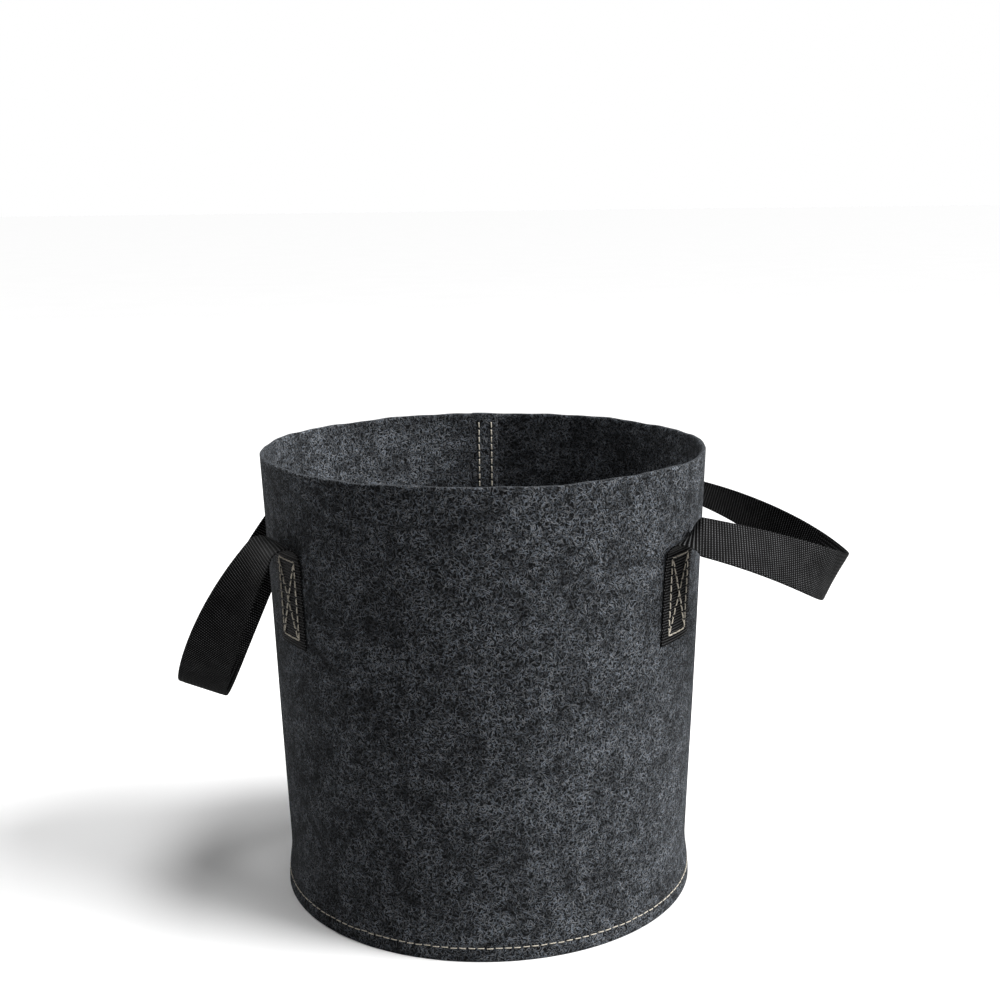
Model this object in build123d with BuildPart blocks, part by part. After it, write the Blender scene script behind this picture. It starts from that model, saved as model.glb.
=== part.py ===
"""Round felt grow bag with two webbing carrying handles.

Dimensions in millimetres. The bag's axis is Z, its foot stands on z = 0, -Y is the front and +Y the back.
"""

import os
from math import acos, atan2, ceil, cos, degrees, hypot, pi, radians, sin

from build123d import *

# Bag: (height, outer radius) down the wall. The foot flares slightly over the seam allowance.
BAG_HEIGHT = 325.0
WALL_PROFILE = [(0.0, 151.5), (10.0, 151.2), (20.0, 149.6), (30.0, 148.5), (BAG_HEIGHT, 160.0)]
FELT = 3.0
LAP_WIDTH = 20.0
LAP_RAMP = 24.0
LAP_CLEARANCE = 0.15
BACK = 90.0

# Base disc: (radius, height) along the middle of the felt, from the turned-down edge to the centre.
BASE_LINE = [
    (146.4, 0.0), (146.4, 6.0), (146.2, 11.5), (143.9, 15.7), (139.2, 16.2),
    (132.0, 12.8), (122.0, 7.6), (112.0, 3.7), (103.0, 1.8), (96.0, 1.5),
]

# Thread
STITCH_LENGTH = 4.8
STITCH_WIDTH = 1.2
STITCH_PROUD = 0.5
STITCH_SUNK = 0.3
STITCH_PITCH = 6.1
BASE_SEAM_Z = 9.5
SIDE_SEAM_OFFSETS = (-5.0, 5.0)
SIDE_SEAM_Z = (24.0, 318.0)

# Webbing handles
WEBBING_WIDTH = 37.0
WEBBING = 1.8
TAB_GAP = 0.05
TAB_AZIMUTH = 33.5
TAB_BOTTOM = 202.5
TAB_TOP = 265.0
BOX_BOTTOM = 208.5
BOX_HEIGHT = 54.5
BOX_WIDTH = 23.0
BOX_CORNER = 3.4

# Handle straps. Each end of a strap leaves the top of its tab, winds over outward round a leaning axis, and
# droops from there to the grip while the two legs close on each other and untwist.
FOLD_LENGTH = 84.0
FOLD_GAP = 0.2
FOLD_STEP = 3.0
LOOP_STEP = 6.0
# side, fold radius, droop after the fold, droop at the grip, run from the fold to the grip, the two powers of
# the curve that closes the legs, power of the untwisting
LEFT_LOOP = (-1, 9.5, 57.0, 71.0, 138.0, 1.6, 0.5, 1.3)
RIGHT_LOOP = (1, 9.5, 14.0, 34.0, 121.0, 1.9, 0.52, 0.35)


def wall_radius(z):
    """Outer radius of the wall at a height."""
    for (z0, r0), (z1, r1) in zip(WALL_PROFILE, WALL_PROFILE[1:]):
        if z <= z1:
            return r0 + (r1 - r0) * (z - z0) / (z1 - z0)
    return WALL_PROFILE[-1][1]


def lap_step(arc):
    """How far the felt stands out over its own first edge, at an arc length past that edge."""
    lapped = 2 * pi * wall_radius(0) - LAP_RAMP
    share = min(max((arc - lapped) / LAP_RAMP, 0.0), 1.0)
    return (FELT + LAP_CLEARANCE) * share * share * (3 - 2 * share)


def wall_point(arc, z, inset):
    """A point of the felt at one height: arc is counted at the foot from the inner edge of the lap."""
    angle = radians(BACK) - LAP_WIDTH / 2 / wall_radius(0) + arc / wall_radius(0)
    radius = wall_radius(z) + lap_step(arc) - inset
    return radius * cos(angle), radius * sin(angle)


def beside(points, distance):
    """A row of points set off to the left of another row."""
    row = []
    for i, (x, y) in enumerate(points):
        ahead = points[min(i + 1, len(points) - 1)]
        behind = points[max(i - 1, 0)]
        run = hypot(ahead[0] - behind[0], ahead[1] - behind[1])
        row.append((x - distance * (ahead[1] - behind[1]) / run, y + distance * (ahead[0] - behind[0]) / run))
    return row


def outer_frame(azimuth, z, radius, slant):
    """A plane on the outside of a round surface; its X axis leans from level by slant degrees."""
    a = radians(azimuth)
    s = radians(slant)
    return Plane(
        origin=(radius * cos(a), radius * sin(a), z),
        x_dir=(-sin(a) * cos(s), cos(a) * cos(s), sin(s)),
        z_dir=(cos(a), sin(a), 0),
    )


def inner_frame(azimuth, z, radius, slant):
    """The same on the inside of a round surface, facing the axis."""
    frame = outer_frame(azimuth, z, radius, slant)
    return Plane(origin=frame.origin, x_dir=frame.x_dir, z_dir=-frame.z_dir)


def stitches(frames, label):
    """Short rounded stitches, one on each plane, pulled a little into the surface."""
    with BuildPart() as thread:
        with BuildSketch(*[frame.offset(-STITCH_SUNK) for frame in frames]):
            SlotOverall(STITCH_LENGTH, STITCH_WIDTH)
        extrude(amount=STITCH_SUNK + STITCH_PROUD)
    thread.part.label = label
    export_step(thread.part, f"parts/{label}.step")


def lap_height(azimuth):
    """How far the outside of the wall stands out at an azimuth because of the lap."""
    start = BACK - degrees(LAP_WIDTH / 2 / wall_radius(0))
    arc = radians((azimuth - start) % 360) * wall_radius(0)
    over_the_edge = arc < LAP_WIDTH
    return FELT + LAP_CLEARANCE if over_the_edge else lap_step(arc)


def tab_middle_radius(z):
    return wall_radius(z) + TAB_GAP + WEBBING / 2


def fold_winding(loop):
    """Lean of the fold's axis off level, radians of turn per mm of run, and the run of the fold."""
    radius, droop = loop[1], radians(loop[2])
    lean = atan2(cos(droop) * sin(radians(TAB_AZIMUTH)), 1 + sin(droop))
    turn = acos(1 - (1 + sin(droop)) / cos(lean) ** 2)
    turn_rate = cos(lean) / radius
    return lean, turn_rate, turn / turn_rate


def fold_frame(loop, end, run):
    """Centre, direction along and direction across a strap at a run within its fold."""
    side, radius = loop[:2]
    lean, turn_rate, fold_run = fold_winding(loop)
    azimuth = radians(TAB_AZIMUTH)
    outward = Vector(side * cos(azimuth), end * sin(azimuth), 0)
    inward = Vector(side * sin(azimuth), -end * cos(azimuth), 0)
    up = Vector(0, 0, 1)
    fold_axis = inward * cos(lean) + up * sin(lean)
    rise = up * cos(lean) - inward * sin(lean)
    angle = run * turn_rate
    forward = rise * cos(angle) + outward * sin(angle)
    centre = outward * (tab_middle_radius(TAB_TOP) + radius * (1 - cos(angle)))
    centre += up * TAB_TOP + fold_axis * (run * sin(lean)) + rise * (radius * sin(angle))
    along = fold_axis * sin(lean) + forward * cos(lean)
    lag = angle**2 / (fold_run * turn_rate)
    across = fold_axis * cos(lean) - (rise * cos(lag) + outward * sin(lag)) * sin(lean)
    across = (across - along * across.dot(along)).normalized()
    return centre, along, across


def strap_frame(loop, end, run):
    """A plane across the strap at a run: its Z axis leads to the grip and its X axis to the upper edge."""
    side, _, droop_start, droop_end, reach, power, closing, untwisting = loop
    fold_run = fold_winding(loop)[2]
    centre, along, across = fold_frame(loop, end, min(run, fold_run))
    if run > fold_run:
        share = min((run - fold_run) / reach, 1.0)
        open_share = 1 - share**power
        first_droop = radians(droop_start)
        bend = radians(droop_end - droop_start) / reach
        droop = first_droop + bend * (run - fold_run)
        x = centre.X + side * (sin(droop) - sin(first_droop)) / bend
        z = centre.Z + (cos(droop) - cos(first_droop)) / bend
        onward = open_share ** (1 - closing) * reach
        inward = abs(centre.Y) * closing * power * share ** (power - 1)
        twist = radians(90 - TAB_AZIMUTH) * (1 - share) ** untwisting
        centre = Vector(x, centre.Y * open_share**closing, z)
        along = Vector(side * cos(droop) * onward, -end * inward, -sin(droop) * onward).normalized()
        across = Vector(side * sin(droop) * cos(twist), -end * sin(twist), cos(droop) * cos(twist))
        across = (across - along * across.dot(along)).normalized()
    return Plane(origin=centre, x_dir=across, z_dir=along)


def leg_spread(loop):
    """Half the distance between the two legs where they leave their folds."""
    return abs(fold_frame(loop, 1, fold_winding(loop)[2])[0].Y)


def grip_run(loop):
    return fold_winding(loop)[2] + loop[4]


def run_at_spread(loop, half_spread):
    """The run at which a leg stands half_spread from the middle of the handle."""
    reach, power, closing = loop[4:7]
    share = (1 - (half_spread / leg_spread(loop)) ** (1 / closing)) ** (1 / power)
    return fold_winding(loop)[2] + share * reach


def webbing_strip(planes, label):
    """A length of flat webbing through a row of planes."""
    with BuildPart() as strip:
        for plane in planes:
            with BuildSketch(plane):
                Rectangle(WEBBING_WIDTH, WEBBING)
        loft()
    strip.part.label = label
    export_step(strip.part, f"parts/{label}.step")


def tab_azimuth(side, end):
    """Azimuth of the middle of a tab; side is -1 left or 1 right, end is -1 front or 1 rear."""
    return end * TAB_AZIMUTH if side > 0 else 180.0 - end * TAB_AZIMUTH


def fold_planes(loop, end):
    """Planes from the top of a tab, over the hump, to where the free loop begins."""
    count = ceil(FOLD_LENGTH / FOLD_STEP)
    runs = [FOLD_GAP + (FOLD_LENGTH - 2 * FOLD_GAP) * i / count for i in range(count + 1)]
    return [strap_frame(loop, end, run) for run in runs]


def loop_planes(loop):
    """Planes along the free loop, from its front end round the grip to its rear end."""
    start = abs(strap_frame(loop, 1, FOLD_LENGTH).origin.Y)
    count = ceil(start / LOOP_STEP)
    front = [strap_frame(loop, -1, run_at_spread(loop, start * (1 - i / count))) for i in range(count)]
    rear = [strap_frame(loop, 1, run_at_spread(loop, start * (1 - i / count))) for i in range(count)]
    grip = strap_frame(loop, -1, grip_run(loop))
    back = [Plane(origin=plane.origin, x_dir=plane.x_dir, z_dir=-plane.z_dir) for plane in reversed(rear)]
    return front + [grip] + back


def box_frames(side, end, radius_of, make_frame):
    """Planes for a stitched rectangle with a cross in it, on one tab."""
    corners = {
        "bottom": (-BOX_WIDTH / 2, BOX_BOTTOM, BOX_WIDTH / 2, BOX_BOTTOM, 4, 0.0),
        "top": (-BOX_WIDTH / 2, BOX_BOTTOM + BOX_HEIGHT, BOX_WIDTH / 2, BOX_BOTTOM + BOX_HEIGHT, 4, 0.0),
        "left": (-BOX_WIDTH / 2, BOX_BOTTOM, -BOX_WIDTH / 2, BOX_BOTTOM + BOX_HEIGHT, 9, 0.0),
        "right": (BOX_WIDTH / 2, BOX_BOTTOM, BOX_WIDTH / 2, BOX_BOTTOM + BOX_HEIGHT, 9, 0.0),
        "rising": (-BOX_WIDTH / 2, BOX_BOTTOM, BOX_WIDTH / 2, BOX_BOTTOM + BOX_HEIGHT, 8, BOX_CORNER),
        "falling": (-BOX_WIDTH / 2, BOX_BOTTOM + BOX_HEIGHT, BOX_WIDTH / 2, BOX_BOTTOM, 8, BOX_CORNER),
    }
    frames = []
    for u0, z0, u1, z1, count, inset in corners.values():
        length = hypot(u1 - u0, z1 - z0)
        slant = degrees(acos((u1 - u0) / length)) * (1 if z1 >= z0 else -1)
        for i in range(count):
            along = (inset + (length - 2 * inset) * (i + 0.5) / count) / length
            z = z0 + (z1 - z0) * along
            radius = radius_of(z)
            azimuth = tab_azimuth(side, end) + degrees((u0 + (u1 - u0) * along) / radius)
            frames.append(make_frame(azimuth, z, radius, slant))
    return frames


os.makedirs("parts", exist_ok=True)

# Wall: one sheet of felt rolled into a tapered tube, its outer edge lapped over its inner edge.
wall_arc = 2 * pi * wall_radius(0) + LAP_WIDTH
wall_steps = 96
with BuildPart() as side_wall:
    for level, _ in WALL_PROFILE:
        with BuildSketch(Plane.XY.offset(level)):
            with BuildLine():
                arcs = [wall_arc * i / wall_steps for i in range(wall_steps + 1)]
                outside = Spline([wall_point(arc, level, 0.0) for arc in arcs])
                inside = Spline([wall_point(arc, level, FELT) for arc in reversed(arcs)])
                Line(outside @ 1, inside @ 0)
                Line(inside @ 1, outside @ 0)
            make_face()
    loft(ruled=True)
side_wall.part.label = "side_wall"
export_step(side_wall.part, "parts/side_wall.step")

# Base: a felt disc, its edge turned down inside the foot of the wall and its floor resting on the ground.
with BuildPart() as base_panel:
    with BuildSketch(Plane.XZ):
        with BuildLine():
            floor_edge = BASE_LINE[-1][0]
            upper = Spline(beside(BASE_LINE, -FELT / 2))
            lower = Spline(beside(BASE_LINE, FELT / 2))
            Line(upper @ 0, lower @ 0)
            Line(upper @ 1, (0, FELT))
            Line((0, FELT), (0, 0))
            Line((0, 0), lower @ 1)
        make_face()
    revolve(axis=Axis.Z)
base_panel.part.label = "base_panel"
export_step(base_panel.part, "parts/base_panel.step")

# Seam round the foot, through the wall and the turned-down edge of the base
foot_count = round(2 * pi * wall_radius(BASE_SEAM_Z) / STITCH_PITCH)
foot_azimuths = [360 * (i + 0.5) / foot_count for i in range(foot_count)]
lap_edge = BACK + degrees(LAP_WIDTH / 2 / wall_radius(0))
clear_of_lap = degrees((STITCH_LENGTH / 2 + 0.4) / wall_radius(0))
foot_frames = [
    outer_frame(azimuth, BASE_SEAM_Z, wall_radius(BASE_SEAM_Z) + lap_height(azimuth), 0)
    for azimuth in foot_azimuths
    if abs(azimuth - lap_edge) > clear_of_lap
]
stitches(foot_frames, "base_seam_outer_thread")
flange_inside = BASE_LINE[2][0] - FELT / 2
flange_frames = [inner_frame(azimuth, BASE_SEAM_Z, flange_inside, 0) for azimuth in foot_azimuths]
stitches(flange_frames, "base_seam_inner_thread")

# Seam up the back, two rows through both layers of the lap
seam_low, seam_high = SIDE_SEAM_Z
seam_count = round((seam_high - seam_low) / STITCH_PITCH)
seam_heights = [seam_low + (seam_high - seam_low) * (i + 0.5) / seam_count for i in range(seam_count)]
seam_outer = []
seam_inner = []
for offset in SIDE_SEAM_OFFSETS:
    azimuth = BACK + degrees(offset / wall_radius(0))
    for z in seam_heights:
        outside_radius = wall_radius(z) + FELT + LAP_CLEARANCE
        seam_outer.append(outer_frame(azimuth, z, outside_radius, 90))
        seam_inner.append(inner_frame(azimuth, z, wall_radius(z) - FELT, 90))
stitches(seam_outer, "side_seam_outer_thread")
stitches(seam_inner, "side_seam_inner_thread")

# Handles: each is one strap, in five lengths by how they move: tab, fold, loop, fold, tab
for loop, hand in ((LEFT_LOOP, "left"), (RIGHT_LOOP, "right")):
    for end, place in ((-1, "front"), (1, "rear")):
        half_angle = degrees(WEBBING_WIDTH / 2 / tab_middle_radius(TAB_BOTTOM))
        first_edge = radians(tab_azimuth(loop[0], end) - half_angle)
        with BuildPart() as tab:
            edge_plane = Plane(
                origin=(0, 0, 0),
                x_dir=(cos(first_edge), sin(first_edge), 0),
                z_dir=(sin(first_edge), -cos(first_edge), 0),
            )
            with BuildSketch(edge_plane):
                with BuildLine():
                    Polyline(
                        (wall_radius(TAB_BOTTOM) + TAB_GAP, TAB_BOTTOM),
                        (wall_radius(TAB_BOTTOM) + TAB_GAP + WEBBING, TAB_BOTTOM),
                        (wall_radius(TAB_TOP) + TAB_GAP + WEBBING, TAB_TOP),
                        (wall_radius(TAB_TOP) + TAB_GAP, TAB_TOP),
                        close=True,
                    )
                make_face()
            revolve(axis=Axis.Z, revolution_arc=2 * half_angle)
        tab.part.label = f"{hand}_{place}_tab"
        export_step(tab.part, f"parts/{hand}_{place}_tab.step")
        webbing_strip(fold_planes(loop, end), f"{hand}_{place}_fold")
        outer_box = box_frames(loop[0], end, lambda z: wall_radius(z) + TAB_GAP + WEBBING, outer_frame)
        stitches(outer_box, f"{hand}_{place}_box_outer_thread")
        inner_box = box_frames(loop[0], end, lambda z: wall_radius(z) - FELT, inner_frame)
        stitches(inner_box, f"{hand}_{place}_box_inner_thread")
    webbing_strip(loop_planes(loop), f"{hand}_loop")
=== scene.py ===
"""Looks for the felt grow bag: felt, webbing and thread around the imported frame. Metres throughout."""
import math
import random

import bpy
import numpy as np
from mathutils import Matrix, Vector


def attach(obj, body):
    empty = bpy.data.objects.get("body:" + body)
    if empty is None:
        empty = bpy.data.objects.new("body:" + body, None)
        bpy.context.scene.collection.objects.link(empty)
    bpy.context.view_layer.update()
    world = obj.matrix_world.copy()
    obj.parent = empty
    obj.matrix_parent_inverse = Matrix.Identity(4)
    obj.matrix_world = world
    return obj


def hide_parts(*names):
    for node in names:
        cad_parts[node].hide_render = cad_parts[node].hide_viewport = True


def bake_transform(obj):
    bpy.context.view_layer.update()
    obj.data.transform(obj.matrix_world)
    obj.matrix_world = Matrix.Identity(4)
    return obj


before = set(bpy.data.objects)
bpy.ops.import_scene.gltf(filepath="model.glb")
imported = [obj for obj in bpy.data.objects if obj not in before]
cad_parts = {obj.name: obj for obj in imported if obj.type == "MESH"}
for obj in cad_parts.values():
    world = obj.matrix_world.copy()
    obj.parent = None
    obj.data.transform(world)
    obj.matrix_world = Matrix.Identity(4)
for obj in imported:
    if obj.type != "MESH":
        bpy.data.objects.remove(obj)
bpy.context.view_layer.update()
rng = np.random.default_rng(7)
random.seed(7)

MM = 0.001
HEIGHT = 325.0
WALL = [(0.0, 151.5), (10.0, 151.2), (20.0, 149.6), (30.0, 148.5), (HEIGHT, 160.0)]
FELT = 3.0
LAP = 20.0
LAP_RAMP = 24.0
LAP_STEP = 3.15
FOOT_R = 151.5
BACK = 90.0
WEB_W = 37.0
WEB_T = 1.8
TAB_AZ = 33.5
TAB_LOW, TAB_HIGH = 202.5, 265.0
TAB_OUT = 0.05 + WEB_T / 2
# side, fold radius, droop after the fold, droop at the grip, run from the fold to the grip,
# the two powers of the curve that closes the legs, power of the untwisting
LOOPS = {
    "left": (-1, 9.5, 57.0, 71.0, 138.0, 1.6, 0.5, 1.3),
    "right": (1, 9.5, 14.0, 34.0, 121.0, 1.9, 0.52, 0.35),
}
RIB = 2.0
RIB_DEPTH = 0.34
STATION = 0.5
SEAM_Z = 9.5
SEAM_STITCHES = 155
BACK_STITCHES = 48
BACK_ROWS = (-5.0, 5.0)
STITCH = 5.0
BOX_LOW, BOX_H, BOX_W = 208.5, 54.5, 23.0
# the base's section from the foot of its turned-down edge inward: radius, height
BASE_LINE = [
    (146.4, 0.0),
    (146.4, 6.0),
    (146.2, 11.5),
    (143.9, 15.7),
    (139.2, 16.2),
    (132.0, 12.8),
    (122.0, 7.6),
    (112.0, 3.7),
    (103.0, 1.8),
    (96.0, 1.5),
]
BASE_COLUMNS = 180
KEY_AZ, KEY_EL = math.radians(80), math.radians(36)
# felt fibres: cells per metre, half length and half width in metres
FIBRES = [
    (150.0, 0.0034, 0.00034),
    (240.0, 0.0021, 0.00036),
    (300.0, 0.0017, 0.00036),
    (370.0, 0.0014, 0.00034),
    (430.0, 0.0012, 0.00034),
    (520.0, 0.001, 0.0003),
]


# ---------------------------------------------------------------- materials
class Nodes:
    """A short way to write a material's node tree."""

    def __init__(self, name):
        self.mat = bpy.data.materials.new(name)
        self.mat.use_nodes = True
        self.tree = self.mat.node_tree
        self.shader = self.tree.nodes["Principled BSDF"]

    def put(self, socket, value):
        if isinstance(value, bpy.types.NodeSocket):
            self.tree.links.new(value, socket)
        else:
            socket.default_value = value

    def make(self, kind, inputs=None, out=0, **fields):
        node = self.tree.nodes.new(kind)
        for key, value in fields.items():
            setattr(node, key, value)
        for key, value in (inputs or {}).items():
            self.put(node.inputs[key], value)
        return node.outputs[out]

    def math(self, op, a, b=0.0, c=0.0, clamp=False):
        node = self.tree.nodes.new("ShaderNodeMath")
        node.operation = op
        node.use_clamp = clamp
        for i, value in enumerate((a, b, c)):
            self.put(node.inputs[i], value)
        return node.outputs[0]

    def uv(self):
        return self.make("ShaderNodeUVMap", uv_map="UVMap")

    def place(self, vector, scale=(1, 1, 1), shift=(0, 0, 0)):
        return self.make(
            "ShaderNodeMapping",
            {"Vector": vector, "Location": shift, "Scale": scale},
        )

    def noise(self, vector, scale, detail=2.0, rough=0.5, dims="3D", out=0):
        return self.make(
            "ShaderNodeTexNoise",
            {"Vector": vector, "Scale": scale, "Detail": detail, "Roughness": rough},
            out=out,
            noise_dimensions=dims,
        )

    def ramp(self, value, low, high, to_low=0.0, to_high=1.0, kind="SMOOTHSTEP"):
        return self.make(
            "ShaderNodeMapRange",
            {"Value": value, "From Min": low, "From Max": high, "To Min": to_low, "To Max": to_high},
            interpolation_type=kind,
        )

    def fibres(self, vector, scale, reach, gauge):
        """One short curly fibre in each Voronoi cell, laid any way; reach and gauge are half its size."""
        cells = self.tree.nodes.new("ShaderNodeTexVoronoi")
        cells.voronoi_dimensions = "2D"
        self.put(cells.inputs["Vector"], vector)
        self.put(cells.inputs["Scale"], scale)
        chance = self.tree.nodes.new("ShaderNodeSeparateColor")
        self.put(chance.inputs[0], cells.outputs["Color"])
        near = {0: vector, 1: cells.outputs["Position"]}
        away = self.make("ShaderNodeVectorMath", near, operation="SUBTRACT")
        angle = self.math("MULTIPLY", chance.outputs[0], math.tau)
        turned = {"Vector": away, "Angle": angle}
        laid = self.make("ShaderNodeVectorRotate", turned, rotation_type="Z_AXIS")
        place = self.tree.nodes.new("ShaderNodeSeparateXYZ")
        self.put(place.inputs[0], laid)
        curl = self.math("MULTIPLY", self.math("SUBTRACT", chance.outputs[1], 0.5), 0.9 / reach)
        bow = self.math("MULTIPLY", curl, self.math("POWER", self.math("ABSOLUTE", place.outputs[0]), 2.0))
        off = self.math("ABSOLUTE", self.math("ADD", place.outputs[1], bow))
        width = self.ramp(off, 0.35 * gauge, gauge, 1.0, 0.0)
        length = self.ramp(self.math("ABSOLUTE", place.outputs[0]), 0.6 * reach, reach, 1.0, 0.0)
        bright = self.ramp(chance.outputs[2], 0.0, 1.0, 0.25, 1.0, "LINEAR")
        return self.math("MULTIPLY", self.math("MULTIPLY", width, length), bright)

    def mix(self, factor, a, b):
        node = self.tree.nodes.new("ShaderNodeMix")
        node.data_type = "RGBA"
        self.put(node.inputs[0], factor)
        self.put(node.inputs[6], a)
        self.put(node.inputs[7], b)
        return node.outputs[2]

    def finish(self, color, rough, height, strength, distance):
        self.put(self.shader.inputs["Base Color"], color)
        self.put(self.shader.inputs["Roughness"], rough)
        bump = self.make("ShaderNodeBump", {"Strength": strength, "Distance": distance, "Height": height})
        self.put(self.shader.inputs["Normal"], bump)
        return self.mat


def felt_material(name, dark, light, seed):
    """Needle-punched felt: pale curly fibres lying every way over a near-black mat, in soft clumps."""
    n = Nodes(name)
    uv = n.uv()
    wander = n.noise(uv, 170.0, 2.0, 0.5, dims="2D", out=1)
    bent = n.make("ShaderNodeVectorMath", {0: wander, 1: (0.5, 0.5, 0.5)}, operation="SUBTRACT")
    bent = n.make("ShaderNodeVectorMath", {0: bent, "Scale": 0.004}, operation="SCALE")
    bent = n.make("ShaderNodeVectorMath", {0: uv, 1: bent}, operation="ADD")
    strands = None
    for i, (scale, reach, gauge) in enumerate(FIBRES):
        line = n.fibres(n.place(bent, shift=(seed + 0.31 * i, 0.17 * i, 0)), scale, reach, gauge)
        strands = line if strands is None else n.math("MAXIMUM", strands, line)
    clumps = n.noise(uv, 115.0, 3.0, 0.65, dims="2D")
    broad = n.noise(uv, 32.0, 3.0, 0.6, dims="2D")
    grain = n.noise(bent, 1000.0, 2.0, 0.6, dims="2D")
    base = n.ramp(grain, 0.35, 0.75)
    clumped = n.ramp(clumps, 0.32, 0.68, 0.55, 1.35, "LINEAR")
    level = n.math("MULTIPLY", clumped, n.ramp(broad, 0.3, 0.7, 0.7, 1.3, "LINEAR"))
    amount = n.math("ADD", n.math("MULTIPLY", strands, 0.85), n.math("MULTIPLY", base, 0.17))
    amount = n.math("MULTIPLY", amount, level, clamp=True)
    amount = n.math("POWER", amount, 1.35)
    tint = n.noise(uv, 500.0, 0.0, 0.5, dims="2D", out=1)
    bluer = (light[0] * 0.9, light[1] * 0.98, light[2] * 1.08, 1)
    cool = n.mix(n.ramp(n.make("ShaderNodeSeparateColor", {0: tint}), 0.35, 0.65), light, bluer)
    color = n.mix(amount, dark, cool)
    n.put(n.shader.inputs["Sheen Weight"], 0.04)
    n.put(n.shader.inputs["Sheen Roughness"], 0.5)
    n.put(n.shader.inputs["Sheen Tint"], (0.8, 0.84, 0.88, 1))
    n.put(n.shader.inputs["Specular IOR Level"], 0.08)
    mat = n.math("ADD", n.math("MULTIPLY", grain, 0.5), clumps)
    height = n.math("ADD", n.math("MULTIPLY", strands, 0.9), mat)
    return n.finish(color, 0.95, height, 0.7, 0.0006)


def webbing_material(name, dark, light):
    """Woven polypropylene webbing: ribs across it, each a row of short floats, staggered row by row; the
    crests of the floats are painted lighter, a painted highlight in place of the yarn's gloss.
    """
    n = Nodes(name)
    uv = n.uv()
    parts = n.tree.nodes.new("ShaderNodeSeparateXYZ")
    n.put(parts.inputs[0], uv)
    along, across = parts.outputs[0], parts.outputs[1]
    row = n.math("DIVIDE", along, RIB * MM)
    odd = n.math("FLOORED_MODULO", n.math("FLOOR", row), 2.0)
    column = n.math("ADD", n.math("DIVIDE", across, 0.0016), n.math("MULTIPLY", odd, 0.5))
    rib = n.math("ABSOLUTE", n.math("SINE", n.math("MULTIPLY", row, math.pi)))
    yarn = n.math("ABSOLUTE", n.math("SINE", n.math("MULTIPLY", column, math.pi)))
    ridge = n.math("ABSOLUTE", n.math("SINE", n.math("MULTIPLY", n.math("DIVIDE", across, 0.0026), math.pi)))
    bead = n.math("MULTIPLY", n.math("POWER", rib, 2.0), n.math("POWER", yarn, 0.6))
    grip = n.ramp(n.math("ABSOLUTE", along), 0.022, 0.05, 0.75, 0.0)
    lengthwise = n.math("MULTIPLY", n.math("MULTIPLY", ridge, 0.75), grip)
    bead = n.math("ADD", n.math("MULTIPLY", bead, n.math("SUBTRACT", 1.0, grip)), lengthwise)
    fine = n.noise(n.place(uv, scale=(900.0, 6000.0, 1.0)), 1.0, 2.0, 0.6, dims="2D")
    patch = n.noise(uv, 70.0, 3.0, 0.6, dims="2D")
    # painted highlight: the crests of the ribs and floats are made lighter in the colour, standing in for the
    # gloss of the black yarn
    painted_float_highlight = n.math("MULTIPLY", n.math("POWER", bead, 4.5), n.ramp(patch, 0.3, 0.7, 0.7, 1.25, "LINEAR"))
    painted_float_highlight = n.math("MULTIPLY", painted_float_highlight, n.ramp(fine, 0.3, 0.7, 0.6, 1.2, "LINEAR"), clamp=True)
    color = n.mix(painted_float_highlight, dark, light)
    n.put(n.shader.inputs["Specular IOR Level"], 0.04)
    rough = n.ramp(fine, 0.3, 0.7, 0.4, 0.55, "LINEAR")
    height = n.math("ADD", bead, n.math("MULTIPLY", fine, 0.15))
    return n.finish(color, rough, height, 1.0, 0.0006)


def thread_material(name, dark, light):
    """Twisted sewing thread: its plies wind round it, with painted shade darkening the grooves between them.
    """
    n = Nodes(name)
    uv = n.uv()
    parts = n.tree.nodes.new("ShaderNodeSeparateXYZ")
    n.put(parts.inputs[0], uv)
    wound = n.math("MULTIPLY", parts.outputs[1], 2.0)
    twist = n.math("ADD", n.math("DIVIDE", parts.outputs[0], 0.0011), wound)
    ply = n.math("ABSOLUTE", n.math("SINE", n.math("MULTIPLY", twist, math.pi)))
    fuzz = n.noise(n.place(uv, scale=(4000.0, 9.0, 1.0)), 1.0, 2.0, 0.6, dims="2D")
    # painted shade: the thread is darker in the grooves between its plies, with random fuzz over it
    ply_shade_and_fuzz = n.math("MULTIPLY", n.ramp(ply, 0.0, 0.6), n.ramp(fuzz, 0.25, 0.75, 0.6, 1.1, "LINEAR"), clamp=True)
    color = n.mix(ply_shade_and_fuzz, dark, light)
    n.put(n.shader.inputs["Specular IOR Level"], 0.3)
    n.put(n.shader.inputs["Sheen Weight"], 0.1)
    return n.finish(color, 0.7, n.math("ADD", ply, n.math("MULTIPLY", fuzz, 0.3)), 0.6, 0.00015)


FELT_MAT = felt_material("felt_heather", (0.003, 0.0031, 0.0034, 1), (0.19, 0.197, 0.208, 1), 0.0)
# the webbing's pale second colour is its painted highlight on the float crests
WEB_MAT = webbing_material("webbing_black", (0.0006, 0.0006, 0.0007, 1), (0.17, 0.173, 0.177, 1))
# the thread's dark colour is painted shade for the grooves between its plies
THREAD_MAT = thread_material("thread_cream", (0.22, 0.19, 0.15, 1), (0.78, 0.72, 0.61, 1))


# ---------------------------------------------------------------- mesh helpers
def mesh_piece(name, verts, faces, uvs, mat, body=None):
    """verts in millimetres; uvs one pair per vertex, in metres."""
    mesh = bpy.data.meshes.new(name)
    mesh.from_pydata((np.asarray(verts) * MM).tolist(), [], faces)
    layer = mesh.uv_layers.new(name="UVMap")
    index = np.empty(len(mesh.loops), int)
    mesh.loops.foreach_get("vertex_index", index)
    layer.data.foreach_set("uv", np.asarray(uvs, np.float32)[index].ravel())
    mesh.polygons.foreach_set("use_smooth", [True] * len(mesh.polygons))
    mesh.materials.append(mat)
    mesh.update()
    obj = bpy.data.objects.new(name, mesh)
    bpy.context.collection.objects.link(obj)
    if body:
        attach(obj, body)
    return obj


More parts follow.
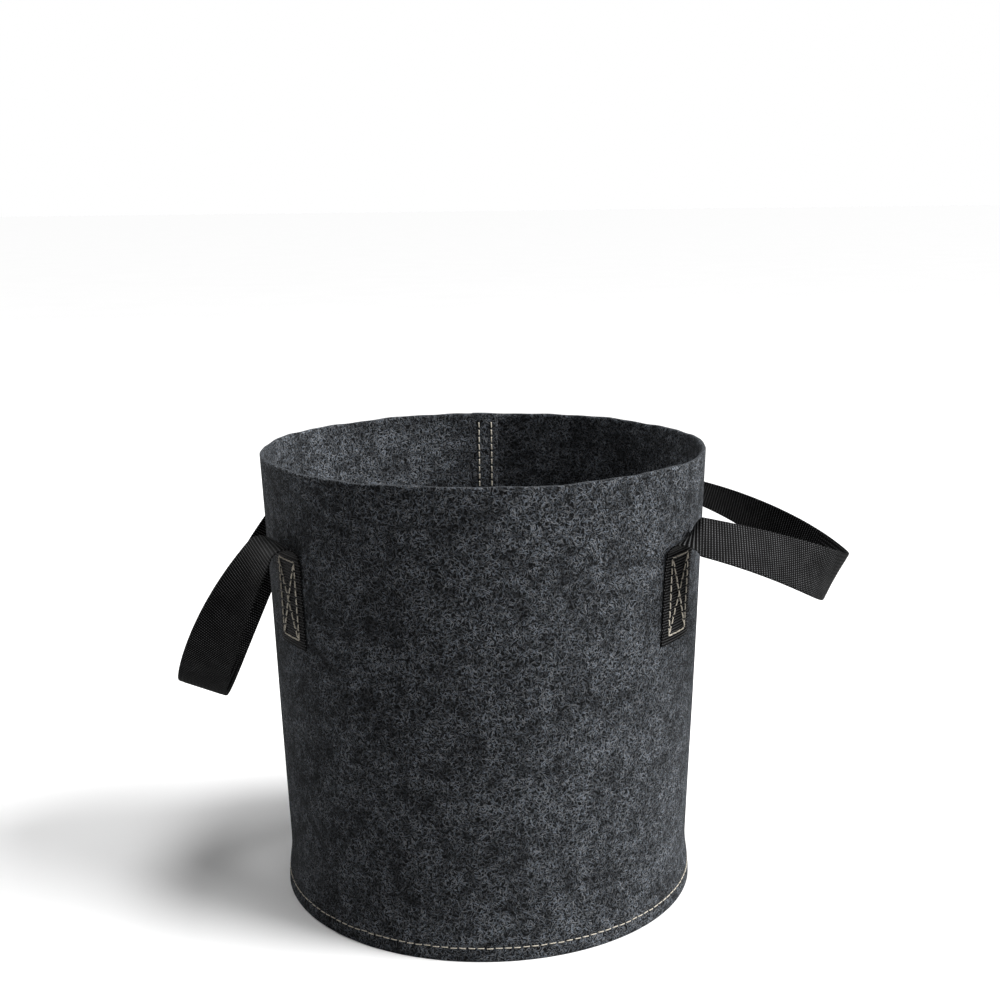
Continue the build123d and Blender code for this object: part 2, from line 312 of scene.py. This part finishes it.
def grid_faces(rows, cols, close=False, offset=0, flip=False):
    """Quads of a grid of vertices; close joins the last column to the first."""
    faces = []
    for i in range(rows - 1):
        for j in range(cols if close else cols - 1):
            k = (j + 1) % cols
            low, high = offset + i * cols, offset + (i + 1) * cols
            quad = (low + j, low + k, high + k, high + j)
            faces.append(quad[::-1] if flip else quad)
    return faces


def ring_sheet(rows_of_rings):
    """A closed skin: rows x ring vertices, the ring being a closed cross-section; ends capped."""
    rows, cols = rows_of_rings.shape[:2]
    faces = grid_faces(rows, cols, close=True)
    faces.append(tuple(range(cols))[::-1])
    faces.append(tuple((rows - 1) * cols + j for j in range(cols)))
    return rows_of_rings.reshape(-1, 3), faces


# ---------------------------------------------------------------- the bag's surface
def wall_radius(z):
    """Outer radius of the wall as packed."""
    return np.interp(z, [p[0] for p in WALL], [p[1] for p in WALL])


def soft_radius(z):
    """The wall's profile with its flare rounded."""
    return sum(wall_radius(np.clip(z + d, 0, HEIGHT)) for d in (-5, -2.5, 0, 2.5, 5)) / 5


def lap_step(arc):
    """How far the wall stands out as it climbs over its own first edge."""
    share = np.clip((arc - (2 * math.pi * FOOT_R - LAP_RAMP)) / LAP_RAMP, 0, 1)
    return LAP_STEP * share * share * (3 - 2 * share)


# turns round the bag, phase, rate up the wall in radians per millimetre, phase
WAVES = [
    (rng.integers(2, 9), rng.uniform(0, 6.28), rng.uniform(0.004, 0.02), rng.uniform(0, 6.28))
    for _ in range(9)
]


def sway(azimuth, z):
    """Slow unevenness of the felt, none at the foot, in millimetres outward."""
    total = 0
    for turns, phase, rate, shift in WAVES:
        total = total + np.sin(turns * azimuth + phase) * np.sin(rate * z + shift)
    return 0.16 * total * np.clip((z - 25) / 120, 0, 1)


def seam_dip(azimuth, z):
    """The foot seam pulls the felt in along its row of stitches."""
    beads = 0.75 + 0.25 * np.cos(azimuth * SEAM_STITCHES)
    return -0.75 * beads * np.exp(-(((z - SEAM_Z) / 2.2) ** 2))


def tab_press(azimuth, z):
    """Each tab flattens the wall a little, leaving a faint crease along its edges."""
    total = 0
    for centre in (TAB_AZ, -TAB_AZ, 180 - TAB_AZ, 180 + TAB_AZ):
        away = (np.degrees(azimuth) - centre + 180) % 360 - 180
        side = away * 2.75
        fade = np.exp(-(((z - 238) / 85) ** 2))
        pressed = 0.35 * np.exp(-((side / 22) ** 2)) * fade
        crease = 0.3 * np.exp(-(((np.abs(side) - 24) / 9) ** 2)) * fade
        total = total - pressed + crease
    return total


def surface(azimuth, z):
    """Outer radius of the felt, lap left out."""
    return soft_radius(z) + sway(azimuth, z) + tab_press(azimuth, z)


def azimuth_of(arc):
    """Azimuth of a place on the sheet, from the length of arc to its outer edge."""
    return math.radians(BACK) + (arc - LAP / 2) / FOOT_R


# ---------------------------------------------------------------- wall
def build_wall():
    """The felt sheet with both faces and its edges, its rim cut a little unevenly."""
    arcs = np.linspace(0, 2 * math.pi * FOOT_R + LAP, 397)
    zs = np.r_[0.0, 0.5, np.linspace(1.5, 22, 18), np.linspace(25, 322, 76), 324.4, 325.0]
    azimuths = azimuth_of(arcs)
    edge = 0.5 * np.sin(azimuths * 7 + 1) + 0.35 * np.sin(azimuths * 16) + 0.2 * np.sin(azimuths * 37)
    verts, uvs = [], []
    for face, inset in (("out", 0.0), ("in", FELT)):
        for z in zs:
            lift = edge * max(0.0, (z - 290) / 35) * 0.8 - 0.4 * max(0.0, (z - 290) / 35)
            height = z + lift
            r = surface(azimuths, height) + lap_step(arcs)
            trim = 0.6 if z in (0.0, 325.0) else 0.0
            if face == "out":
                r = r + seam_dip(azimuths, z) - trim
            else:
                r = r - inset + trim
            verts.append(np.c_[r * np.cos(azimuths), r * np.sin(azimuths), height])
            uvs.append(np.c_[arcs + (0 if face == "out" else 1300), height])
    rows, cols = len(zs), len(arcs)
    verts, uvs = np.vstack(verts), np.vstack(uvs) * MM
    faces = grid_faces(rows, cols) + grid_faces(rows, cols, offset=rows * cols, flip=True)
    base = rows * cols
    for j in range(cols - 1):
        faces.append((j + 1, j, base + j, base + j + 1))
        top = (rows - 1) * cols
        faces.append((top + j, top + j + 1, base + top + j + 1, base + top + j))
    for i in range(rows - 1):
        a, b = i * cols, (i + 1) * cols
        faces.append((a, b, base + b, base + a))
        a, b = a + cols - 1, b + cols - 1
        faces.append((b, a, base + a, base + b))
    wall = mesh_piece("felt_wall", verts, faces, uvs, FELT_MAT, "bag")
    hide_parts("side_wall")
    return wall


# ---------------------------------------------------------------- base
def build_base():
    """The felt disc with both faces, and its radius when flat."""
    line = np.array(BASE_LINE)
    steps = np.r_[0, np.cumsum(np.hypot(*np.diff(line, axis=0).T))]
    t = np.linspace(0, steps[-1], 34)
    r = np.interp(t, steps, line[:, 0])
    z = np.interp(t, steps, line[:, 1])
    for _ in range(2):
        r[1:-1] = (r[:-2] + 2 * r[1:-1] + r[2:]) / 4
        z[1:-1] = (z[:-2] + 2 * z[1:-1] + z[2:]) / 4
    r = np.r_[r, np.linspace(r[-1], 1.0, 34)[1:]]
    z = np.r_[z, np.full(33, z[-1])]
    dr, dz = np.gradient(r), np.gradient(z)
    size = np.hypot(dr, dz)
    nr, nz = dz / size, -dr / size
    azimuths = np.linspace(0, 2 * math.pi, BASE_COLUMNS, endpoint=False)
    run = np.r_[0, np.cumsum(np.hypot(np.diff(r), np.diff(z)))]
    verts, uvs = [], []
    for side in (1, -1):
        for i in range(len(r)):
            swell = math.sin(math.pi * min(1, run[i] / 80))
            ripple = 0.35 * np.sin(azimuths * 9 + 2) * swell if side > 0 else 0
            bed = 0.5 * math.sin(run[i] * 0.11) if r[i] < 90 and side > 0 else 0
            rr = r[i] - side * nr[i] * FELT / 2
            hz = max(0.0, z[i] + side * nz[i] * FELT / 2) + (ripple + bed) * 0.4
            verts.append(np.c_[rr * np.cos(azimuths), rr * np.sin(azimuths), np.zeros(BASE_COLUMNS) + hz])
            flat = 170 - run[i]
            uvs.append(np.c_[flat * np.cos(azimuths) + 500 * side, flat * np.sin(azimuths) - 600])
    rows, cols = len(r), BASE_COLUMNS
    faces = grid_faces(rows, cols, close=True, flip=True)
    faces += grid_faces(rows, cols, close=True, offset=rows * cols)
    base = rows * cols
    for j in range(cols):
        k = (j + 1) % cols
        faces.append((j, k, base + k, base + j))
    faces.append(tuple((rows - 1) * cols + j for j in range(cols)))
    faces.append(tuple(base + (rows - 1) * cols + j for j in range(cols))[::-1])
    piece = mesh_piece("felt_base", np.vstack(verts), faces, np.vstack(uvs) * MM, FELT_MAT, "bag")
    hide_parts("base_panel")
    return piece, run[-1] + 1.0


# ---------------------------------------------------------------- webbing
def strap_fold(loop):
    """Lean of the fold's axis off level, its angle of turn and its run."""
    radius, droop = loop[1], math.radians(loop[2])
    lean = math.atan2(math.cos(droop) * math.sin(math.radians(TAB_AZ)), 1 + math.sin(droop))
    turn = math.acos(1 - (1 + math.sin(droop)) / math.cos(lean) ** 2)
    return lean, turn, radius * turn / math.cos(lean)


def strap_frame(loop, end, run):
    """Centre, direction along and direction across the strap at a run from the top of a tab."""
    side, radius, droop_start, droop_end, reach, power, closing, untwist = loop
    lean, turn, folded = strap_fold(loop)
    azimuth = math.radians(TAB_AZ)
    up = Vector((0, 0, 1))
    outward = Vector((side * math.cos(azimuth), end * math.sin(azimuth), 0))
    inward = Vector((side * math.sin(azimuth), -end * math.cos(azimuth), 0))
    axis = inward * math.cos(lean) + up * math.sin(lean)
    rise = up * math.cos(lean) - inward * math.sin(lean)
    wound = min(run, folded)
    angle = wound * math.cos(lean) / radius
    forward = rise * math.cos(angle) + outward * math.sin(angle)
    point = outward * (wall_radius(TAB_HIGH) + TAB_OUT) + up * TAB_HIGH
    point += axis * (wound * math.sin(lean))
    point += rise * (radius * math.sin(angle)) + outward * (radius * (1 - math.cos(angle)))
    if run < folded:
        along = axis * math.sin(lean) + forward * math.cos(lean)
        lag = angle**2 / turn
        across = axis * math.cos(lean) - (rise * math.cos(lag) + outward * math.sin(lag)) * math.sin(lean)
        across = (across - along * across.dot(along)).normalized()
        return point, along, across
    share = min((run - folded) / reach, 1.0)
    gap = 1 - share**power
    spread = abs(point.y)
    first = math.radians(droop_start)
    bend = math.radians(droop_end - droop_start) / reach
    droop = first + bend * (run - folded)
    point.x += side * (math.sin(droop) - math.sin(first)) / bend
    point.z += (math.cos(droop) - math.cos(first)) / bend
    point.y *= gap**closing
    onward = reach * gap ** (1 - closing)
    closed = spread * closing * power * share ** (power - 1)
    along = Vector((side * math.cos(droop) * onward, -end * closed, -math.sin(droop) * onward)).normalized()
    twist = (math.pi / 2 - azimuth) * (1 - share) ** untwist
    level = math.cos(twist)
    across = Vector((side * math.sin(droop) * level, -end * math.sin(twist), math.cos(droop) * level))
    across = (across - along * across.dot(along)).normalized()
    return point, along, across


def section(run):
    """The webbing's cross-section at a run from the middle of the grip: ribs, and a selvedge at each side."""
    u = np.sin(np.linspace(-math.pi / 2, math.pi / 2, 34) * 0.97) / math.sin(math.pi / 2 * 0.97)
    worn = 1 - 0.6 * math.exp(-((run / 40) ** 2))
    rib = RIB_DEPTH * worn * abs(math.sin(math.pi * run / RIB))
    groove = 0.16 * np.exp(-(((np.abs(u) - 0.83) / 0.035) ** 2))
    edge = np.sqrt(np.clip(1 - np.abs(u) ** 16, 0.04, 1))
    half = (WEB_T / 2 - RIB_DEPTH + rib - groove) * edge
    across = np.r_[u, u[::-1]] * WEB_W / 2
    out = np.r_[half, -half[::-1]]
    v = np.r_[(u + 1) / 2 * WEB_W, (u[::-1] + 1) / 2 * WEB_W + 80]
    return across, out, v


def webbing_skin(stations):
    """stations: (point, along, across, run). Returns closed skin and uvs."""
    rings, uvs = [], []
    for point, along, across, run in stations:
        out = np.array(along.cross(across))
        a, b, v = section(run)
        rings.append(np.array(point) + np.outer(a, np.array(across)) + np.outer(b, out))
        uvs.append(np.c_[np.full(len(v), run), v])
    verts, faces = ring_sheet(np.array(rings))
    return verts, faces, np.vstack(uvs) * MM


def build_strap(hand):
    """One strap from tab to tab, folded over at the top of each tab and curving to its grip."""
    loop = LOOPS[hand]
    total = strap_fold(loop)[2] + loop[4]
    runs = total * (1 - np.linspace(1, 0, 2400) ** 2)
    points = np.array([strap_frame(loop, -1, run)[0] for run in runs])
    lengths = np.r_[0, np.cumsum(np.linalg.norm(np.diff(points, axis=0), axis=1))]
    half = lengths[-1]
    stations = []
    for place in np.r_[half, np.arange(math.floor(2 * half) / 2, 0, -STATION), 0.0]:
        point, along, across = strap_frame(loop, -1, float(np.interp(half - place, lengths, runs)))
        stations.append((point, along, across, -place))
    for place in np.r_[np.arange(STATION, half, STATION), half]:
        point, along, across = strap_frame(loop, 1, float(np.interp(half - place, lengths, runs)))
        stations.append((point, -along, across, place))
    verts, faces, uvs = webbing_skin(stations)
    strap = mesh_piece(f"{hand}_strap", verts, faces, uvs, WEB_MAT)
    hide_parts(f"{hand}_front_fold", f"{hand}_rear_fold", f"{hand}_loop")
    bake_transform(strap)


def tab_azimuth(side, end):
    return math.radians(end * TAB_AZ if side > 0 else 180 - end * TAB_AZ)


def build_tab(hand, place):
    """One sewn end of a strap, curved to the wall and flat where the strap leaves it."""
    side = LOOPS[hand][0]
    end = -1 if place == "front" else 1
    middle = tab_azimuth(side, end)
    rings, uvs = [], []
    for z in np.arange(TAB_LOW, TAB_HIGH + 0.01, 0.5):
        a, b, v = section(z - TAB_HIGH - 170)
        r0 = surface(middle, z) + 0.1 + WEB_T / 2
        if z > TAB_HIGH - 8:
            ease = (z - TAB_HIGH + 8) / 8
            r0 = r0 * (1 - ease) + (wall_radius(TAB_HIGH) + TAB_OUT) * ease
        azimuth = middle + a / r0
        local = surface(azimuth, z) + 0.1 + WEB_T / 2 + (r0 - surface(middle, z) - 0.1 - WEB_T / 2)
        radius = local + b
        flat = max(0.0, (z - TAB_HIGH + 10) / 10)
        across = np.array([-math.sin(middle), math.cos(middle), 0])
        out = np.array([math.cos(middle), math.sin(middle), 0])
        curved = np.c_[radius * np.cos(azimuth), radius * np.sin(azimuth), np.full(len(a), z)]
        planar = out * r0 + np.outer(a, across) + np.outer(b, out) + np.array([0, 0, z])
        rings.append(curved * (1 - flat) + planar * flat)
        uvs.append(np.c_[np.full(len(v), z - TAB_HIGH - 170), v])
    verts, faces = ring_sheet(np.array(rings))
    uvs = np.vstack(uvs) * MM
    tab = mesh_piece(f"{hand}_{place}_tab_webbing", verts, faces, uvs, WEB_MAT, "bag")
    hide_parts(f"{hand}_{place}_tab")


# ---------------------------------------------------------------- thread
def thread_piece(name, stitches, node, gauge=0.5, sunk=0.0):
    """stitches: (centre, along, normal, length) in millimetres, each a short arch of twisted thread."""
    around, rows = 8, 11
    verts, faces, uvs = [], [], []
    run = 0.0
    for centre, along, normal, length in stitches:
        centre, along, normal = (np.array(v, float) for v in (centre, along, normal))
        across = np.cross(normal, along)
        angle = random.gauss(0, 0.035)
        along = along * math.cos(angle) + across * math.sin(angle)
        across = np.cross(normal, along)
        length = length * random.uniform(0.96, 1.05)
        lift = random.uniform(0.2, 0.36) - sunk
        radius = gauge * random.uniform(0.94, 1.06)
        offset = len(verts)
        for i in range(rows):
            t = i / (rows - 1)
            s = (t - 0.5) * length
            arch = math.sin(math.pi * t)
            rise = lift * min(1.0, arch * 2.4) - 0.85 * (1 - min(1.0, arch * 4.5))
            bulge = radius * (0.8 + 0.2 * min(1, arch * 3))
            for j in range(around):
                phi = 2 * math.pi * j / around
                ply = 1 + 0.1 * math.cos(2 * phi - 2 * math.pi * s / 1.7)
                side_, up = math.cos(phi) * bulge * ply * 1.1, math.sin(phi) * bulge * ply * 0.85
                verts.append(centre + along * s + across * side_ + normal * (rise + up))
                uvs.append((run + s + length / 2, j / around * 1000))
        run += length
        for i in range(rows - 1):
            for j in range(around):
                k = (j + 1) % around
                low, high = offset + i * around, offset + (i + 1) * around
                faces.append((low + j, low + k, high + k, high + j))
        faces.append(tuple(offset + j for j in range(around))[::-1])
        faces.append(tuple(offset + (rows - 1) * around + j for j in range(around)))
    piece = mesh_piece(name, verts, faces, np.array(uvs) * MM, THREAD_MAT, "bag")
    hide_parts(node)


def on_wall(azimuth, z, out, slant):
    """Centre, along and normal for a stitch at a distance outside the axis."""
    radial = np.array([math.cos(azimuth), math.sin(azimuth), 0])
    level = np.array([-math.sin(azimuth), math.cos(azimuth), 0])
    along = level * math.cos(slant) + np.array([0, 0, 1]) * math.sin(slant)
    return radial * out + np.array([0, 0, z]), along, radial


def lap_height(azimuth):
    """How far the outside stands out at an azimuth because of the lap."""
    arc = ((azimuth - math.radians(BACK)) % (2 * math.pi)) * FOOT_R + LAP / 2
    if arc > 2 * math.pi * FOOT_R:
        return LAP_STEP
    return LAP_STEP if arc < LAP else float(lap_step(arc))


def foot_seam():
    outer, inner = [], []
    for i in range(SEAM_STITCHES):
        azimuth = 2 * math.pi * (i + 0.5) / SEAM_STITCHES
        r = float(surface(azimuth, SEAM_Z) + seam_dip(azimuth, SEAM_Z)) + lap_height(azimuth)
        c, a, n = on_wall(azimuth, SEAM_Z + random.gauss(0, 0.12), r, 0)
        outer.append((c, a, n, STITCH))
        c, a, n = on_wall(azimuth + 0.02, SEAM_Z, 144.8, 0)
        inner.append((c, a, -n, STITCH))
    thread_piece("foot_seam_thread", outer, "base_seam_outer_thread", 0.34, 0.18)
    thread_piece("foot_seam_bobbin", inner, "base_seam_inner_thread")


def back_seam():
    outer, inner = [], []
    for offset in BACK_ROWS:
        azimuth = math.radians(BACK) + offset / FOOT_R
        for i in range(BACK_STITCHES):
            z = 24 + 294 * (i + 0.5) / BACK_STITCHES
            r = float(surface(azimuth, z))
            c, a, n = on_wall(azimuth, z, r + LAP_STEP, math.pi / 2)
            outer.append((c, a, n, STITCH))
            c, a, n = on_wall(azimuth, z, r - FELT, math.pi / 2)
            inner.append((c, a, -n, STITCH))
    thread_piece("back_seam_thread", outer, "side_seam_outer_thread")
    thread_piece("back_seam_bobbin", inner, "side_seam_inner_thread")


def box_seam(hand, place):
    """The rectangle and cross that sew a tab down: each line is its two ends, stitch count and inset."""
    side = LOOPS[hand][0]
    end = -1 if place == "front" else 1
    middle = tab_azimuth(side, end)
    w, lo, hi = BOX_W / 2, BOX_LOW, BOX_LOW + BOX_H
    lines = [
        (-w, lo, w, lo, 4, 0),
        (-w, hi, w, hi, 4, 0),
        (-w, lo, -w, hi, 9, 0),
        (w, lo, w, hi, 9, 0),
        (-w, lo, w, hi, 9, 1.5),
        (-w, hi, w, lo, 9, 1.5),
    ]
    outer, inner = [], []
    for u0, z0, u1, z1, count, inset in lines:
        length = math.hypot(u1 - u0, z1 - z0)
        slant = math.atan2(z1 - z0, u1 - u0)
        pitch = (length - 2 * inset) / count
        for i in range(count):
            along = (inset + pitch * (i + 0.5)) / length
            z = z0 + (z1 - z0) * along
            u = u0 + (u1 - u0) * along
            r = float(surface(middle + u / 158, z))
            over = 0.35 if z0 > z1 else 0.0
            c, a, n = on_wall(middle + u / 158, z, r + 0.1 + WEB_T + over, slant)
            outer.append((c, a, n, pitch * 0.86))
            c, a, n = on_wall(middle + u / 158, z, r - FELT, slant)
            inner.append((c, a, -n, pitch * 0.84))
    thread_piece(f"{hand}_{place}_box_thread", outer, f"{hand}_{place}_box_outer_thread")
    thread_piece(f"{hand}_{place}_box_bobbin", inner, f"{hand}_{place}_box_inner_thread")


wall = build_wall()
base, base_radius = build_base()
for hand in ("left", "right"):
    for place in ("front", "rear"):
        build_tab(hand, place)
        box_seam(hand, place)
    build_strap(hand)
foot_seam()
back_seam()


# ---------------------------------------------------------------- floor, light, camera
def studio():
    """A pale floor that the camera sees nearly white and that lights the bag less than it looks."""
    white = Nodes("studio_white")
    haze = white.noise(white.make("ShaderNodeTexCoord", out=3), 3.0)
    seen = white.mix(haze, (0.96, 0.96, 0.96, 1), (0.99, 0.99, 0.99, 1))
    shown = white.make("ShaderNodeLightPath")
    white.finish(white.mix(shown, (0.42, 0.42, 0.42, 1), seen), 0.9, haze, 0.02, 0.001)
    verts = [(x, y, 0.0) for y in (-4.0, 60.0) for x in (-40.0, 40.0)]
    mesh = bpy.data.meshes.new("studio_floor")
    mesh.from_pydata(verts, [], [(0, 1, 3, 2)])
    mesh.polygons.foreach_set("use_smooth", [True] * len(mesh.polygons))
    mesh.materials.append(white.mat)
    floor = bpy.data.objects.new("studio_floor", mesh)
    bpy.context.collection.objects.link(floor)


def area_light(name, place, target, size, energy):
    data = bpy.data.lights.new(name, "AREA")
    data.shape = "RECTANGLE"
    data.size, data.size_y = size
    data.energy = energy
    light = bpy.data.objects.new(name, data)
    light.location = place
    light.rotation_euler = (Vector(target) - Vector(place)).to_track_quat("-Z", "Y").to_euler()
    bpy.context.collection.objects.link(light)


studio()
sun = bpy.data.lights.new("key", "SUN")
sun.energy = 5.4
sun.angle = 0.7
key = bpy.data.objects.new("key", sun)
level = math.cos(KEY_EL)
toward = Vector((math.sin(KEY_AZ) * level, -math.cos(KEY_AZ) * level, math.sin(KEY_EL)))
key.rotation_euler = toward.to_track_quat("Z", "Y").to_euler()
bpy.context.collection.objects.link(key)
area_light("side", (-1.6, 1.3, 0.9), (0, 0, 0.2), (0.9, 1.2), 13)
area_light("overhead", (0.1, -0.1, 2.3), (0.0, 0, 0), (1.2, 1.2), 34)
world = bpy.data.worlds.new("studio_world")
bpy.context.scene.world = world
world.use_nodes = True
tree = world.node_tree
shown = tree.nodes.new("ShaderNodeLightPath").outputs["Is Camera Ray"]
strength = tree.nodes.new("ShaderNodeMapRange")
strength.inputs["To Min"].default_value = 0.05
strength.inputs["To Max"].default_value = 1.0
tree.links.new(shown, strength.inputs["Value"])
tree.links.new(strength.outputs[0], tree.nodes["Background"].inputs[1])
tree.nodes["Background"].inputs[0].default_value = (1, 1, 1, 1)
bpy.context.scene.view_settings.view_transform = "Standard"

camera_data = bpy.data.cameras.new("camera")
camera_data.sensor_width = 36.0
camera_data.lens = 52.82
camera_data.clip_end = 50
camera = bpy.data.objects.new("camera", camera_data)
camera.location = (0.0117, -1.048, 0.501)
pitch = Matrix.Rotation(math.radians(90 - 11.71), 3, "X")
roll = Matrix.Rotation(math.radians(-0.68), 3, "Z")
camera.rotation_euler = (pitch @ roll).to_euler()
bpy.context.collection.objects.link(camera)
bpy.context.scene.camera = camera

bpy.context.view_layer.update()
